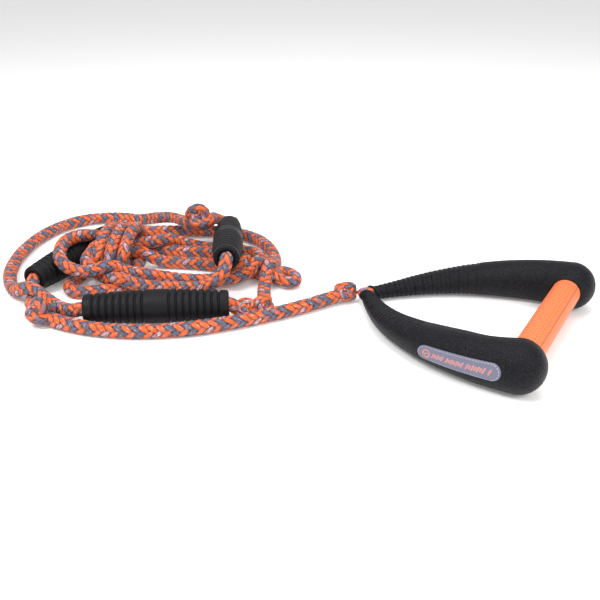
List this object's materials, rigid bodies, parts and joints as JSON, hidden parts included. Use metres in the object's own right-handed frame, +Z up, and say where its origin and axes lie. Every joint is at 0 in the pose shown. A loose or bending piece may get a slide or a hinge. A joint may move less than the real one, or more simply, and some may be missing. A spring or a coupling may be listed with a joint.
{
  "type": "tow rope handle",
  "caption": "Triangular water tow handle with tapered foam arms, a grip bar and bulb ends, tied to a braided rope lying in a pile with knots and grooved rope floats.",
  "frame": {"origin": "on the floor, under the centre of the handle's bounding box", "axes": "+X from the rope's apex towards the grip bar, +Y along the grip bar towards the arm the rope pile bends away from, +Z up"},
  "size_m": [0.6624, 0.3485, 0.0561],
  "materials": {
    "arm_foam": "ribbed and grained moulded foam, slightly satin",
    "grip_rubber": "matte with small raised marks",
    "bar_metal": "satin",
    "plug_plastic": "matte",
    "bridle_rope": "braided",
    "badge": "satin with an orange printed pattern",
    "tow_rope": "orange, blue-grey and white hollow braid",
    "float_foam": "matte foam"
  },
  "bodies": {
    "rope": {"splice_knot": "tow_rope", "lead_rope": "tow_rope", "left_knot": "tow_rope", "left_link": "tow_rope", "left_core": "tow_rope", "rope_coil": "tow_rope", "loose_knot": "tow_rope", "right_core": "tow_rope", "right_knot": "tow_rope", "outer_loop": "tow_rope", "front_core": "tow_rope", "front_knot": "tow_rope", "tow_loop": "tow_rope"},
    "neck": {"rope_neck": "tow_rope"},
    "handle": {"near_arm": "arm_foam", "far_arm": "arm_foam", "bar_tube": "bar_metal", "grip_sleeve": "grip_rubber", "near_plug": "plug_plastic", "far_plug": "plug_plastic", "near_bridle": "bridle_rope", "far_bridle": "bridle_rope", "near_bridle_knot": "bridle_rope", "far_bridle_knot": "bridle_rope", "near_badge": "badge", "far_badge": "badge"},
    "front_float": {"float_front": "float_foam"},
    "left_float": {"float_left": "float_foam"},
    "right_float": {"float_right": "float_foam"}
  },
  "joints": [
    {"name": "handle_swing", "type": "hinge", "parent": "rope", "child": "neck", "pos_m": [-0.108, 0, 0.01], "axis": [0, 0, 1], "range_deg": [-25, 40]},
    {"name": "handle_lift", "type": "hinge", "parent": "neck", "child": "handle", "pos_m": [-0.108, 0, 0.01], "axis": [0, -1, 0], "range_deg": [0, 60]},
    {"name": "float_front_spin", "type": "hinge", "parent": "rope", "child": "front_float", "pos_m": [-0.273, -0.15, 0.0178], "axis": [0.829, 0.5592, 0], "continuous": true},
    {"name": "float_left_spin", "type": "hinge", "parent": "rope", "child": "left_float", "pos_m": [-0.441, -0.093, 0.0178], "axis": [-0.1219, 0.9925, 0], "continuous": true},
    {"name": "float_right_spin", "type": "hinge", "parent": "rope", "child": "right_float", "pos_m": [-0.2885, 0.001, 0.0335], "axis": [-0.5478, 0.8277, -0.1219], "continuous": true}
  ]
}
